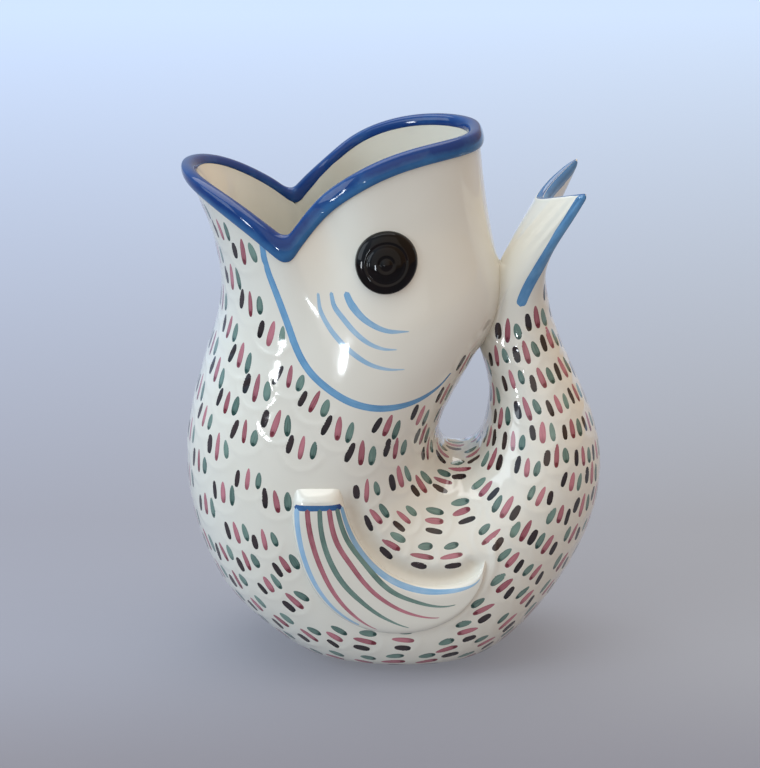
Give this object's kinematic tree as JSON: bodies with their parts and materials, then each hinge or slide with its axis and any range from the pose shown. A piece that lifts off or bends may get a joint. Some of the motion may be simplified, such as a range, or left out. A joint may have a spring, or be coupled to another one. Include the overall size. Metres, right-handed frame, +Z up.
{
  "type": "gurgle jug",
  "caption": "Glazed ceramic jug shaped like a fish that stands on its belly. Its hollow tail is the handle and gurgles as water pours from the mouth.",
  "frame": {"origin": "on the table, under the middle of the jug's overall size", "axes": "+Z up, -X towards the spout, +X towards the tail, -Y the fish's left side, which the picture shows"},
  "size_m": [0.1801, 0.1158, 0.2333],
  "materials": {
    "glaze_white": "gloss",
    "cobalt_blue": "gloss",
    "pale_blue": "gloss",
    "eye_black": "gloss",
    "rose_red": "gloss",
    "leaf_green": "gloss",
    "bare_clay": "matte"
  },
  "bodies": {
    "root": {"body_shell": "glaze_white", "lip_bead": "cobalt_blue", "foot": "bare_clay", "tail_handle": "glaze_white", "tail_fin": "glaze_white", "left_pectoral_fin": "glaze_white", "right_pectoral_fin": "glaze_white", "left_eye": "eye_black", "right_eye": "eye_black"}
  },
  "joints": []
}
